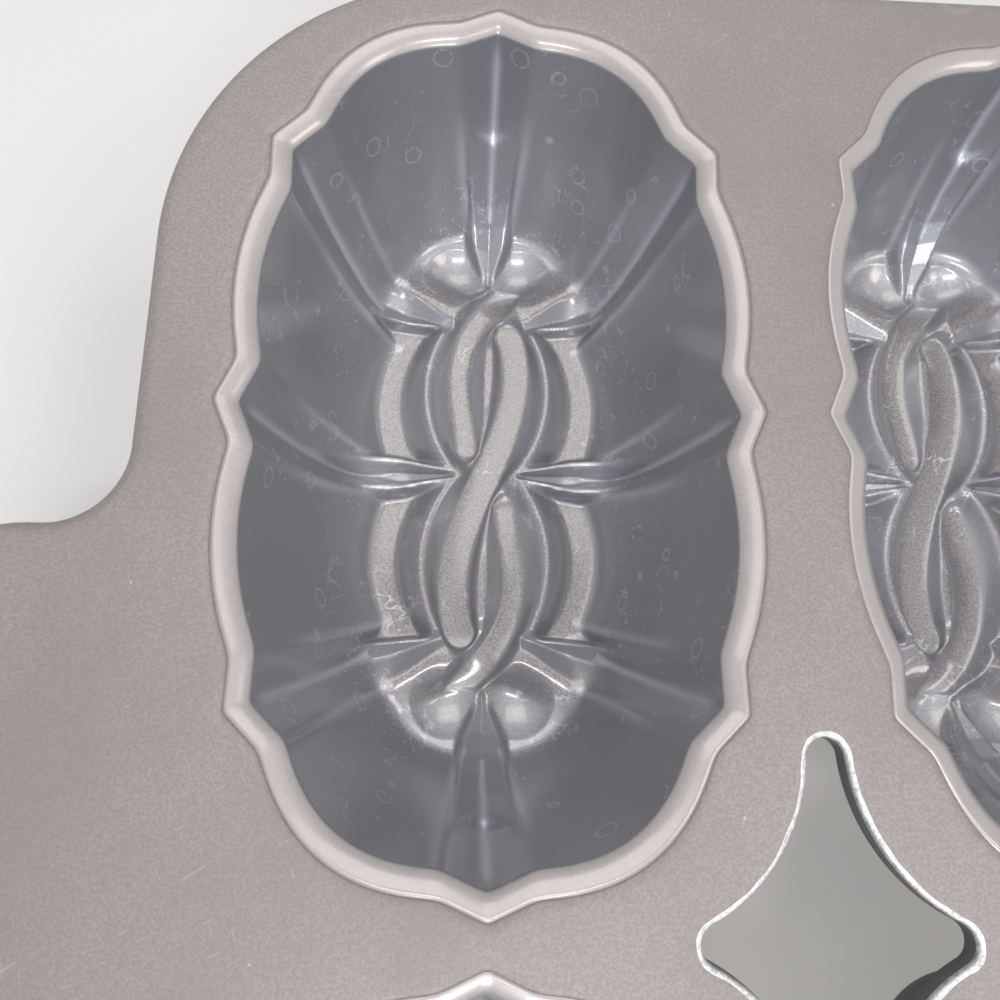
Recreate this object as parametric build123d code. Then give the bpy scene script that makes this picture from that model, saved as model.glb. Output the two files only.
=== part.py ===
"""Cast aluminium baking tray with eight oblong fluted cake cups, seen from above as it stands on its cups.

X runs along the four columns, Y along the two rows, Z up. The origin is the middle of the tray, on the
surface that the cups stand on. Each cup is an oblong mould: eight pointed ribs and eight bulging panels
make its wall, and its floor holds eight rounded hollows round a two-strand twist. A flat deck joins the
cups. It has a star-shaped cut-out between every four cups and a finger grip at each end.
"""

import os
from math import cos, radians, sin

from build123d import *

# Layout of the tray
columns = 4
rows = 2
column_web = 8.4            # deck left between the lips of two cups side by side, at their points
row_web = 4.6               # deck left between the lips of two cups end to end, at their points
end_margin = 9.8            # deck outside the lip at the tray's two ends
side_margin = 5.8           # deck outside the lip at the tray's two long sides
deck_thickness = 3.0
deck_corner_radius = 45.0
grip_reach = 25.0           # how far a grip stands out past the deck's end
grip_length = 96.0          # along the end of the deck
grip_corner_share = 0.52    # its outer corner radius and the radius at its root, as shares of its reach
grip_root_share = 0.4
edge_bead_width = 4.0       # thickened edge under the deck
edge_bead_drop = 2.0
edge_round = 0.9

# Mouth of a cup, measured at the top of its wall, where the lip ends
mouth_half_width = 33.5     # centre to the point of a middle rib
mouth_half_length = 59.4    # centre to the point of an end rib
corner_rib_x = 29.0         # point of a corner rib
corner_rib_y = 38.2
corner_rib_angle = 22.0     # degrees from X in which a corner rib points
rib_half_width = 5.9        # at the mouth
rib_height = 2.6            # at the mouth, from the foot of the rib to its point
rib_floor_half_width = 3.8  # the same two at the floor
rib_floor_height = 2.0
side_panel_bulge = 0.085    # rise of the panel's arc, as a share of its chord
end_panel_bulge = 0.18
lip_width = 3.0             # sloping band round the mouth
lip_drop = 1.9              # how far that band falls inwards
lip_step = 0.35             # the deck stands this much proud of the band

# Wall and floor
wall = 3.0                  # metal thickness
crest_depth = 34.0          # from the mouth down to the edges between the floor's hollows
wall_lean_high = 2.3        # inward lean of the wall a third of the way down
wall_lean_low = 5.4         # two thirds of the way down
wall_lean_foot = 9.4        # at the crests
middle_rib_lean = 0.8       # the ribs lean by these shares of the wall's lean
corner_rib_lean = 0.95
end_rib_lean = 1.1
skin_foot_round = 3.0       # the underside's rounded edge: its inward run

# Floor relief, with each drop measured from the crests down
hollow_drop = 4.5           # bottom of the eight rounded hollows
side_hollow_y = 14.4        # centre of the ring that two side hollows lie on
side_hollow_ring = 16.9     # radius of that ring
side_hollow_radius = 6.5    # radius of the hollow's section
side_hollow_inner_y = 2.6   # the hollow's two ends
side_hollow_outer_y = 25.4
end_hollow_y = 34.4
end_hollow_ring = 9.0
end_hollow_radius = 4.8
end_hollow_gap = 2.2        # half the gap between the two hollows of one end
twist_pitch = 29.0          # from one crossing of the strands to the next
twist_swing = 5.4           # how far a strand leaves the middle line
strand_radius = 4.3
over_strand_drop = 3.3      # bottom of the strand that crosses over at the middle
under_strand_drop = 2.5
under_strand_end = 4.6      # the other strand stops this far from the middle crossing
strand_tail = (3.6, 5.2)    # how far it runs on past the twist's ends, across and along
pocket_drop = 1.1           # shallow field that the strands lie in
pocket_waist = 4.9          # its half width at the middle
pocket_swell = 10.4         # its half width beside the strands
pocket_end_width = 5.6      # its half width at its ends
groove_outer_radius = 3.4   # ribs run on over the floor as tapered half-round grooves
groove_inner_radius = 1.7
groove_outer_rise = 1.6     # how far a groove's axis rises towards the wall
middle_groove_end = 5.0     # where the grooves meet the pocket
corner_groove_end = (6.0, 27.6)
end_groove_end = 31.0

# Star cut-out in the deck between four cups
star_half_width = 16.2
star_half_length = 23.0
star_tip_radius = 2.4
star_side_hollow = 0.9      # how far a side curves in from the line between the centres of two tips

# Sizes that follow from those above
hollow_depth = crest_depth + hollow_drop
mouth_level = hollow_depth + wall
deck_top = mouth_level + lip_drop
column_pitch = 2 * (mouth_half_width + lip_width) + column_web
row_pitch = 2 * (mouth_half_length + lip_width) + row_web
deck_length = (columns - 1) * column_pitch + 2 * (mouth_half_width + lip_width + end_margin)
deck_width = (rows - 1) * row_pitch + 2 * (mouth_half_length + lip_width + side_margin)
cup_places = {
    f"cup_{'front' if row == 0 else 'back'}_{column + 1}": (
        (column - (columns - 1) / 2) * column_pitch,
        (row - (rows - 1) / 2) * row_pitch,
    )
    for row in range(rows)
    for column in range(columns)
}


def level(depth):
    """Height above the standing surface of a depth below the mouth."""
    return mouth_level - depth


def rib_points(grow, lean, floorward):
    """Foot, point and foot of each of the eight ribs in turn, in plan, moved out by grow and in by lean.

    floorward runs from 0 at the mouth to 1 at the crests of the floor, where the ribs are smaller.
    """
    half_width = rib_half_width + (rib_floor_half_width - rib_half_width) * floorward
    height = rib_height + (rib_floor_height - rib_height) * floorward
    ribs = [
        (mouth_half_width, 0, 0, middle_rib_lean),
        (corner_rib_x, corner_rib_y, corner_rib_angle, corner_rib_lean),
        (0, mouth_half_length, 90, end_rib_lean),
        (-corner_rib_x, corner_rib_y, 180 - corner_rib_angle, corner_rib_lean),
        (-mouth_half_width, 0, 180, middle_rib_lean),
        (-corner_rib_x, -corner_rib_y, 180 + corner_rib_angle, corner_rib_lean),
        (0, -mouth_half_length, 270, end_rib_lean),
        (corner_rib_x, -corner_rib_y, 360 - corner_rib_angle, corner_rib_lean),
    ]
    placed = []
    for x, y, angle, share in ribs:
        out = Vector(cos(radians(angle)), sin(radians(angle)))
        along = Vector(-out.Y, out.X)
        point = Vector(x, y) + out * (grow - lean * share)
        foot = point - out * height
        placed.append((foot - along * half_width, point, foot + along * half_width))
    return placed


def cup_outline(grow, lean=0.0, floorward=0.0, depth=0.0):
    """The fluted outline as a face: two straight flanks on each rib, one arc on each panel."""
    ribs = rib_points(grow, lean, floorward)
    edges = []
    for number, (before, point, after) in enumerate(ribs):
        reached = ribs[(number + 1) % len(ribs)][0]
        bulge = side_panel_bulge if number in (0, 3, 4, 7) else end_panel_bulge
        chord = reached - after
        middle = (after + reached) * 0.5 + Vector(chord.Y, -chord.X) * bulge
        edges.append(Line(before, point))
        edges.append(Line(point, after))
        edges.append(ThreePointArc(after, middle, reached))
    return Pos(0, 0, level(depth)) * make_face(Curve() + edges)


def wall_body(grow, foot_depth, foot_inset):
    """The space inside the wall, or with grow its outside, from above the deck down to foot_depth."""
    stations = [
        (0.0, 0.0),
        (crest_depth / 3, wall_lean_high),
        (crest_depth * 2 / 3, wall_lean_low),
        (crest_depth, wall_lean_foot),
    ]
    sections = [cup_outline(grow, lean, depth / crest_depth, depth) for depth, lean in stations]
    if foot_depth > crest_depth:
        sections.append(cup_outline(grow - foot_inset, wall_lean_foot, 1.0, foot_depth))
    return loft(sections)


def side_hollows():
    """Four hollows beside the twist, each a stretch of a ring, cut off square beside the ribs' grooves."""
    ring = Torus(side_hollow_ring, side_hollow_radius)
    reach = 2 * (side_hollow_ring + side_hollow_radius)
    stretch = side_hollow_outer_y - side_hollow_inner_y
    middle = (side_hollow_inner_y + side_hollow_outer_y) / 2
    found = Part()
    for x_side in (-1, 1):
        for y_side in (-1, 1):
            place = Pos(x_side * (pocket_end_width + reach / 2), y_side * middle, 0)
            found += (Pos(0, y_side * side_hollow_y, 0) * ring) & (place * Box(reach, stretch, reach))
    return Pos(0, 0, level(hollow_depth - side_hollow_radius)) * found


def end_hollows():
    """Two hollows at each end of the floor, either side of the end rib's groove."""
    ring = Torus(end_hollow_ring, end_hollow_radius)
    reach = 2 * (end_hollow_ring + end_hollow_radius)
    found = Part()
    for x_side in (-1, 1):
        for y_side in (-1, 1):
            corner = Pos(x_side * (end_hollow_gap + reach / 2), y_side * (end_hollow_y + reach / 2), 0)
            found += (Pos(0, y_side * end_hollow_y, 0) * ring) & (corner * Box(reach, reach, reach))
    return Pos(0, 0, level(hollow_depth - end_hollow_radius)) * found


def groove(outer, inner):
    """A tapered round groove along the floor from the wall to the twist, where its axis is at the crests."""
    start = Vector(*outer, level(crest_depth) + groove_outer_rise)
    end = Vector(*inner, level(crest_depth))
    axis = Plane(origin=(start + end) * 0.5, z_dir=end - start)
    return axis * Cone(groove_outer_radius, groove_inner_radius, (end - start).length)


def floor_grooves():
    """The eight ribs' grooves over the floor, each from between the feet of its rib."""
    foot_x = mouth_half_width - wall_lean_foot * middle_rib_lean - rib_floor_height
    foot_y = mouth_half_length - wall_lean_foot * end_rib_lean - rib_floor_height
    corner_lean = wall_lean_foot * corner_rib_lean + rib_floor_height
    corner_x = corner_rib_x - corner_lean * cos(radians(corner_rib_angle))
    corner_y = corner_rib_y - corner_lean * sin(radians(corner_rib_angle))
    found = Part()
    for side in (-1, 1):
        found += groove((side * foot_x, 0), (side * middle_groove_end, 0))
        found += groove((0, side * foot_y), (0, side * end_groove_end))
        for other in (-1, 1):
            inner = (side * corner_groove_end[0], other * corner_groove_end[1])
            found += groove((side * corner_x, other * corner_y), inner)
    return found


def twist_pocket():
    """The shallow field round the strands: two long lobes that meet at a waist."""
    ends = twist_pitch
    outline = Curve()
    for turn in (0, 180):
        half = [
            ThreePointArc((pocket_waist, 0), (pocket_swell, ends / 2), (pocket_end_width, ends)),
            Line((pocket_end_width, ends), (-pocket_end_width, ends)),
            ThreePointArc((-pocket_end_width, ends), (-pocket_swell, ends / 2), (-pocket_waist, 0)),
        ]
        outline += [Rot(0, 0, turn) * edge for edge in half]
    return Pos(0, 0, level(crest_depth + pocket_drop)) * extrude(make_face(outline), crest_depth)


def strand(points, drop):
    """A round-bottomed channel along one arc in plan, or along a line, with round ends."""
    height = level(crest_depth + drop - strand_radius)
    places = [(x, y, height) for x, y in points]
    path = ThreePointArc(*places) if len(places) == 3 else Line(*places)
    section = Plane(origin=path @ 0, z_dir=path % 0) * Circle(strand_radius)
    ends = [Pos(*(path @ end)) * Sphere(strand_radius) for end in (0, 1)]
    return sweep(section, path=path) + ends


def arc_stretch(first_y, last_y, side):
    """Start, middle and end of one swing of a strand between two heights in Y, on the given side."""
    radius = (twist_pitch**2 / 4 + twist_swing**2) / (2 * twist_swing)

    def at(y):
        from_middle = abs(y) - twist_pitch / 2
        return (side * (twist_swing - radius + (radius**2 - from_middle**2) ** 0.5), y)

    return [at(first_y), at((first_y + last_y) / 2), at(last_y)]


def twist():
    """One strand runs through the middle crossing; the other passes under it and over both ends."""
    over = strand(arc_stretch(twist_pitch, 0, 1), over_strand_drop)
    over += strand(arc_stretch(0, -twist_pitch, -1), over_strand_drop)
    under = strand(arc_stretch(twist_pitch, under_strand_end, -1), under_strand_drop)
    under += strand(arc_stretch(-under_strand_end, -twist_pitch, 1), under_strand_drop)
    for side in (1, -1):
        tail_end = (side * strand_tail[0], side * (twist_pitch + strand_tail[1]))
        under += strand([(0, side * twist_pitch), tail_end], under_strand_drop)
    return over + under


def cup():
    """One cup, centred on X and Y, with its lip that fills the deck's opening."""
    outside = wall_body(wall, mouth_level, skin_foot_round)
    underside = deck_top - deck_thickness
    below_deck = Box(4 * mouth_half_width, 4 * mouth_half_length, underside)
    outside &= Pos(0, 0, underside / 2) * below_deck
    lip = extrude(cup_outline(lip_width), deck_thickness - lip_step)
    outside += Pos(0, 0, underside - mouth_level) * lip
    band = loft([cup_outline(lip_width, depth=lip_step - lip_drop), cup_outline(0)], ruled=True)
    inside = wall_body(0, crest_depth, 0) + twist_pocket()
    inside += floor_grooves()
    inside += side_hollows()
    inside += end_hollows()
    inside += twist()
    return outside - band - inside


def star():
    """Four-pointed cut-out with hollow sides and round tips, centred on X and Y.

    A side is the arc that touches the round tips at its two ends. Its radius follows from the distance
    between their centres and from how far the arc's middle lies in from the line between them.
    """
    wide_tip = Vector(star_half_width - star_tip_radius, 0)
    long_tip = Vector(0, star_half_length - star_tip_radius)
    half_span = (long_tip - wide_tip).length / 2
    hollow = star_side_hollow + star_tip_radius
    reach = (half_span**2 + hollow**2) / (2 * hollow)
    outward = Vector(long_tip.Y, wide_tip.X).normalized()
    centre = (wide_tip + long_tip) * 0.5 + outward * (reach - hollow)
    middle = centre - outward * (reach - star_tip_radius)
    wide_end = wide_tip + (centre - wide_tip).normalized() * star_tip_radius
    long_end = long_tip + (centre - long_tip).normalized() * star_tip_radius
    edges = []
    for turn in (1, -1):
        for flip in (1, -1):
            side = [(turn * point.X, turn * flip * point.Y) for point in (wide_end, middle, long_end)]
            edges.append(ThreePointArc(*side))
        x, y = turn * wide_end.X, wide_end.Y
        edges.append(ThreePointArc((x, y), (turn * star_half_width, 0), (x, -y)))
        x, y = long_end.X, turn * long_end.Y
        edges.append(ThreePointArc((x, y), (0, turn * star_half_length), (-x, y)))
    return make_face(Curve() + edges)


def deck():
    """The flat plate that joins the cups, with its openings, cut-outs, grips and thickened edge."""
    plate = RectangleRounded(deck_length, deck_width, deck_corner_radius)
    grip_corner_radius = grip_reach * grip_corner_share
    grips = RectangleRounded(deck_length + 2 * grip_reach, grip_length, grip_corner_radius)
    outer = plate + grips
    roots = [
        vertex
        for vertex in outer.vertices()
        if abs(abs(vertex.X) - deck_length / 2) < 0.01 and abs(abs(vertex.Y) - grip_length / 2) < 0.01
    ]
    outer = fillet(roots, grip_reach * grip_root_share)
    body = Pos(0, 0, deck_top - deck_thickness) * extrude(outer, deck_thickness)
    bead = extrude(outer - offset(outer, -edge_bead_width), edge_bead_drop)
    body += Pos(0, 0, deck_top - deck_thickness - edge_bead_drop) * bead
    rim = body.faces().sort_by(Axis.Z)[-1].outer_wire().edges()
    body = fillet(rim, edge_round)
    for x, y in cup_places.values():
        body -= Pos(x, y, -2 * deck_thickness) * extrude(cup_outline(lip_width), 4 * deck_thickness)
    for column in range(columns - 1):
        for row in range(rows - 1):
            x = (column - (columns - 2) / 2) * column_pitch
            y = (row - (rows - 2) / 2) * row_pitch
            body -= Pos(x, y, deck_top - 2 * deck_thickness) * extrude(star(), 3 * deck_thickness)
    return body


os.makedirs("parts", exist_ok=True)
export_step(deck(), "parts/deck.step")
one_cup = cup()
for name, (x, y) in cup_places.items():
    export_step(Pos(x, y, 0) * one_cup, f"parts/{name}.step")
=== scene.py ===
"""Cast baking tray with eight fluted cake cups: the visual model, laid out as an add-on and run as a script.

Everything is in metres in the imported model's frame. Shapes are worked out in millimetres as numpy arrays and
scaled once, when their mesh is made. "Depth" is measured down from the mouth of a cup, where its lip ends.
"""

from types import SimpleNamespace

import bmesh
import bpy
import numpy as np
from bpy.props import FloatProperty, FloatVectorProperty, PointerProperty
from mathutils import Matrix, Vector
from mathutils.geometry import delaunay_2d_cdt


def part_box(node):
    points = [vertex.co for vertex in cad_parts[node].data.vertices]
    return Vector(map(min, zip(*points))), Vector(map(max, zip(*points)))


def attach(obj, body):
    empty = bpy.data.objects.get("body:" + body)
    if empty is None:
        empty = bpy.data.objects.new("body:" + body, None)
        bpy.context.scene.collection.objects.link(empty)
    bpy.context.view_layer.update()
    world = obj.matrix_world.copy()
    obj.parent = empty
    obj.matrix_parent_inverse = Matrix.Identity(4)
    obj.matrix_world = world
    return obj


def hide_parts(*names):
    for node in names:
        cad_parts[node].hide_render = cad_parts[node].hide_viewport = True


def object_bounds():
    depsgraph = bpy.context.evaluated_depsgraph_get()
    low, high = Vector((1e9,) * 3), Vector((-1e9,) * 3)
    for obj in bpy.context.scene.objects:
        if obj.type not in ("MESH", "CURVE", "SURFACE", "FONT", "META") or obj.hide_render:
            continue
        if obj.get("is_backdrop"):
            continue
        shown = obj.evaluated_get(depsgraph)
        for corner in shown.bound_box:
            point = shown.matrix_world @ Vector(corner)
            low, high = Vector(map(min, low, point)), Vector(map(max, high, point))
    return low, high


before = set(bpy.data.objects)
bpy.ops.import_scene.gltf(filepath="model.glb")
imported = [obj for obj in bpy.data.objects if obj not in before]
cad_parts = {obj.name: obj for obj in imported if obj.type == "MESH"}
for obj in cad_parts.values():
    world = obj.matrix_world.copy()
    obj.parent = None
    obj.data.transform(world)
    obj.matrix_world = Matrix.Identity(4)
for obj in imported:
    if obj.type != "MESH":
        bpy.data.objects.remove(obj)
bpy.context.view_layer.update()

bl_info = {
    "name": "Fluted cake tray",
    "version": (1, 0, 0),
    "blender": (4, 5, 0),
    "location": "View3D > Sidebar > Cake tray",
    "description": "Builds a cast baking tray with eight fluted cups, its finish and a plain studio",
    "category": "Object",
}

MILLIMETRE = 0.001

# Sampling round a cup's outline: each rib's two flanks and the panel that follows it
FLANK_STEPS = 16
PANEL_STEPS = 36
RIB_STEPS = 2 * FLANK_STEPS + PANEL_STEPS
RIBS = 8


# Plan of a cup: its fluted outline at any depth


def smooth_step(low, high, value):
    """0 below low, 1 above high, and a cubic ease between them."""
    share = np.clip((value - low) / (high - low), 0.0, 1.0)
    return share * share * (3 - 2 * share)


def soft_max(first, second, blend):
    """The larger of two fields, with the crease between them rounded over about blend."""
    return 0.5 * (first + second + np.sqrt((first - second) ** 2 + blend**2))


def soft_min(first, second, blend):
    """The smaller of two fields, with the crease between them rounded over about blend."""
    return 0.5 * (first + second - np.sqrt((first - second) ** 2 + blend**2))


# Inward lean of the wall at the crests' depth: a straight part and one that grows with the square of the depth
LEAN, LEAN_GROWTH = 5.65, 3.75
# A rib's half width at the mouth, how much narrower it gets down to the crests, and how far its point stands out
RIB_HALF_WIDTH, RIB_NARROWING, RIB_HEIGHT = 5.9, 1.3, 2.6
# How a rib's foot changes towards the floor, in width and in height: beside a middle rib, on the two sides of a
# corner rib, and beside an end rib
FOOT_CHANGE = {"middle": (-1.4, 2.9), "corner_low": (-0.3, 1.6), "corner_high": (1.0, 0.0), "end": (-0.9, -0.4)}
FEET_BEFORE = ("middle", "corner_low", "end", "corner_high") * 2
FEET_AFTER = ("middle", "corner_high", "end", "corner_low") * 2
# How far a panel bulges, as a share of its chord: on the long sides, what it gains down to the crests, and elsewhere
SIDE_PANELS = (0, 3, 4, 7)
SIDE_BULGE, SIDE_BULGE_GROWTH, END_BULGE = 0.085, 0.02, 0.18
# Smoothing passes on a rib's point and feet, and the samples over which one gives way to the other
POINT_PASSES, FOOT_PASSES, POINT_REACH = 2, 5, 3.0
# Half widths of the painted highlight lines on a rib's point and feet, in samples, and how strong they are on the
# feet
POINT_HIGHLIGHT_WIDTH, FOOT_HIGHLIGHT_WIDTH, FOOT_HIGHLIGHT = 2.0, 1.4, 0.6


def wall_lean(share):
    """Inward lean of the wall at a share of the way down to the crests, from a quadratic in that share."""
    return LEAN * share + LEAN_GROWTH * share**2


def rib_table(mm, grow, share):
    """Foot, point and foot of the eight ribs in plan, as (8, 3, 2), anticlockwise from the middle right rib.

    A rib leans in along its own bearing, and near the floor its feet change with the fourth power of the depth.
    """
    change = np.array([[FOOT_CHANGE[kind] for kind in feet] for feet in (FEET_BEFORE, FEET_AFTER)])
    half_width = (RIB_HALF_WIDTH - RIB_NARROWING * share + change[..., 0] * share**4)[..., None]
    height = (RIB_HEIGHT + change[..., 1] * share**4)[..., None]
    quarter = np.array([
        # x, y, bearing of the point, bearing of the lean, share of the lean
        (mm.half_width, 0.0, 0.0, 0.0, 0.80),
        (mm.corner_x, mm.corner_y, 22.0, 37.5, 0.99),
        (0.0, mm.half_length, 90.0, 90.0, 0.98),
    ])
    x, y, bearing, lean_bearing, lean_share = quarter[[0, 1, 2, 1, 0, 1, 2, 1]].T
    flip_x = np.array([1, 1, 1, -1, -1, -1, 1, 1])
    flip_y = np.array([1, 1, 1, 1, 1, -1, -1, -1])
    bearing, lean_bearing = np.radians(bearing), np.radians(lean_bearing)
    out = np.stack([np.cos(bearing) * flip_x, np.sin(bearing) * flip_y], 1)
    inward = -np.stack([np.cos(lean_bearing) * flip_x, np.sin(lean_bearing) * flip_y], 1)
    point = np.stack([x * flip_x, y * flip_y], 1) + out * grow
    point = point + inward * (wall_lean(share) * lean_share)[:, None]
    along = np.stack([-out[:, 1], out[:, 0]], 1)
    before = point - out * height[0] - along * half_width[0]
    after = point - out * height[1] + along * half_width[1]
    return np.stack([before, point, after], 1)


def blurred(loop, passes):
    """A closed line smoothed along its length: each pass is the mean 1, 2, 1 of neighbours."""
    for _ in range(passes):
        loop = (np.roll(loop, 1, 0) + 2 * loop + np.roll(loop, -1, 0)) / 4
    return loop


def cup_outline(mm, grow, share):
    """The fluted outline in plan: straight flanks to each rib's point, and a parabola bulging on each panel.

    The feet of the ribs are blurred to an ogee and their points are left nearly sharp.
    """
    ribs = rib_table(mm, grow, share)
    before, point, after = ribs[:, 0, None], ribs[:, 1, None], ribs[:, 2, None]
    reached = np.roll(ribs[:, 0], -1, 0)[:, None]
    flank = (np.arange(FLANK_STEPS) / FLANK_STEPS)[None, :, None]
    panel = (np.arange(PANEL_STEPS) / PANEL_STEPS)[None, :, None]
    chord = reached - after
    outward = np.stack([chord[..., 1], -chord[..., 0]], -1)
    side = np.isin(np.arange(RIBS), SIDE_PANELS)[:, None, None]
    bulge = np.where(side, SIDE_BULGE + SIDE_BULGE_GROWTH * share**4, END_BULGE)
    rows = [
        before + (point - before) * flank,
        point + (after - point) * flank,
        after + chord * panel + outward * (4 * bulge * panel * (1 - panel)),
    ]
    sharp = np.concatenate(rows, 1).reshape(-1, 2)
    from_point = np.abs((np.arange(RIB_STEPS) - FLANK_STEPS + RIB_STEPS / 2) % RIB_STEPS - RIB_STEPS / 2)
    keep = np.tile(np.exp(-((from_point / POINT_REACH) ** 2)), RIBS)[:, None]
    return blurred(sharp, POINT_PASSES) * keep + blurred(sharp, FOOT_PASSES) * (1 - keep)


def rib_highlight(share):
    """Painted highlight at each sample of the outline: a light line down a rib's point, and fainter lines on its
    feet.
    """
    sample = np.arange(RIB_STEPS)
    point = np.exp(-(((sample - FLANK_STEPS) / POINT_HIGHLIGHT_WIDTH) ** 2))
    foot = np.minimum(np.abs(sample - 2 * FLANK_STEPS), np.minimum(sample, RIB_STEPS - sample))
    feet = np.exp(-((foot / FOOT_HIGHLIGHT_WIDTH) ** 2)) * smooth_step(0.25, 0.6, share)
    return np.tile(point * smooth_step(0.02, 0.15, share) + FOOT_HIGHLIGHT * feet, RIBS)


# Relief of a cup's floor. Places are in millimetres from the cup's centre, across it and along it.

# Depth of the crests, the level that the hollows and grooves are sunk from
CREST_DEPTH = 34.0
# A field that lies level with the crests is this much higher, so that the soft maximum doesn't deepen them
LEVEL_GAP = 0.1
# Pocket round the twist, edged by an arc on each side: the arc's centre, its radius and where it stops
POCKET_CENTRE, POCKET_RADIUS, POCKET_END = (-12.9, 15.5), 23.6, 31.0
# Half width of the rim round the pocket, and where the twist gives way to the strands' tails
RIM_HALF, TWIST_END = 0.6, (27.0, 30.0)
# Middle ribs' grooves: half width and depth at the tip, with what each gains outwards
GROOVE_HALF, GROOVE_WIDENING, GROOVE_DEPTH, GROOVE_DEEPENING = 0.75, 1.95, 1.2, 2.2
# Where the crests bend up into the wall, and how fast: over the whole floor, and in the corner ribs' grooves
BEND_START, BEND_RATE = 20.0, 0.075
CORNER_BEND_START, CORNER_BEND_RATE = 17.5, 0.10
# Side hollows: centre, radius and least half chord of the crescent's inner arc, its depth, and its slanting far end
CRESCENT_CENTRE, CRESCENT_RADIUS, CRESCENT_CHORD, CRESCENT_DEPTH = (-6.9, 14.4), 22.0, 10.0, 4.5
CRESCENT_END, CRESCENT_SLANT = 27.9, 0.09
# Lobes at both ends: centre, radius, depth and curve of the bowl, and how much shallower it is beside the tail
LOBE_CENTRE, LOBE_RADIUS, LOBE_DEPTH, LOBE_CURVE, LOBE_SHALLOWING = (5.6, 38.2), 6.4, 4.4, 0.050, 1.6
# Crest between a lobe and the corner groove: its place along at 5 mm across, its slant, and its curve beyond 12 mm
LOBE_CREST, LOBE_CREST_SLANT, LOBE_CREST_CURVE = 30.4, 0.50, 0.02


def distance_to_line(plan, line):
    """Distance of points to a line of samples, and on which side they are: positive to its left."""
    start, run = line[:-1], np.diff(line, axis=0)
    gap = plan[:, None] - start[None]
    share = np.clip((gap * run).sum(-1) / (run * run).sum(-1), 0.0, 1.0)
    off = gap - run * share[..., None]
    length = np.hypot(off[..., 0], off[..., 1])
    nearest = length.argmin(1)
    rows = np.arange(len(plan))
    side = run[nearest, 0] * gap[rows, nearest, 1] - run[nearest, 1] * gap[rows, nearest, 0]
    return length[rows, nearest], np.sign(side)


def curve_through(points, steps=12):
    """A smooth line through points: a cubic Hermite curve whose slopes are half the step over both neighbours."""
    points = np.array(points, float)
    slopes = np.gradient(points, axis=0)
    t = (np.arange(steps) / steps)[None, :, None]
    a, b = points[:-1, None], points[1:, None]
    da, db = slopes[:-1, None], slopes[1:, None]
    line = a * (1 + 2 * t) * (1 - t) ** 2 + da * t * (1 - t) ** 2 + b * t * t * (3 - 2 * t) + db * t * t * (t - 1)
    return np.vstack([line.reshape(-1, 2), points[-1:]])


# The strand that crosses over, from the middle to its upper end, and the strand that passes under it, from its
# tip on the upper left over the crossing to its tail. Both are repeated by half a turn.
OVER_STRAND = [(0.0, 0.0), (1.9, 4.5), (3.6, 9.5), (4.8, 14.6), (5.25, 18.5), (5.1, 22.6), (4.5, 26.0), (4.1, 27.2)]
UNDER_STRAND = [(-3.5, 5.4), (-4.0, 9.5), (-4.9, 15.5), (-5.0, 20.2), (-4.0, 25.4), (-1.9, 29.6), (0.3, 32.4),
                (2.6, 34.9), (4.4, 37.2), (5.6, 39.2)]
# Half width of a strand's flat bottom, its depth, and how far its flank runs as a share of the gap between the two
OVER_FLAT, OVER_DEPTH, OVER_RUN = 2.7, 37.6, 0.26
UNDER_FLAT, UNDER_DEPTH, UNDER_RUN = 2.1, 37.5, 0.46
# The tail of the strand beneath: how far it dips, then rises to its end, and how far its flanks run
TAIL_DIP, TAIL_RISE, TAIL_RUN = 0.6, 2.5, 1.6
# Depth of the pocket's rim and of the ridge between the strands, and how much deeper it is where they lie close
RIM_DEPTH, RIDGE_DEPTH, CLOSE_DEPTH = 34.25, 35.2, 1.0
# Corner ribs' grooves, from the wall to the tip beside the twist
CORNER_GROOVE = [(32.0, 37.6), (26.0, 34.9), (21.6, 33.2), (17.5, 31.8), (13.0, 30.3), (9.0, 28.9), (5.6, 27.8)]
# End rib's groove between the lobes: its depth down the middle from apex to wall, its slope to both sides, and the
# place of its apex, the length and half width of its wedge, and how fast it widens beyond
WEDGE_Y = (37.3, 40.5, 43.5, 46.5, 49.0, 51.5, 54.0)
WEDGE_DEPTH = (38.2, 36.6, 34.9, 32.3, 29.2, 24.6, 18.0)
WEDGE_SLOPE = 0.42
WEDGE_APEX, WEDGE_LENGTH, WEDGE_HALF, WEDGE_WIDENING = 36.6, 7.4, 3.25, 0.16
# How much a channel's bottom is dished, and the least run of its flank
DISH, LEAST_RUN = 0.25, 0.05
# Width over which the floor runs up into the wall: everywhere, and what the ribs' grooves and the lobes add
FOOT_BLEND, GROOVE_BLEND, LOBE_BLEND = 0.6, 4.4, 2.4


def ramp(value, ease=0.12):
    """0 below 0, 1 above 1, straight between them, with both corners rounded over a share ease."""
    return soft_min(soft_max(value, 0.0, ease), 1.0, ease)


def channel(gap, flat, bottom, run, top):
    """Depth of a channel at a distance from its line: nearly flat at the bottom, then a flank that rises to top."""
    dish = DISH * np.minimum(gap / flat, 1.0) ** 2
    return bottom - dish - (bottom - DISH - top) * ramp((gap - flat) / np.maximum(run, LEAST_RUN))


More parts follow.
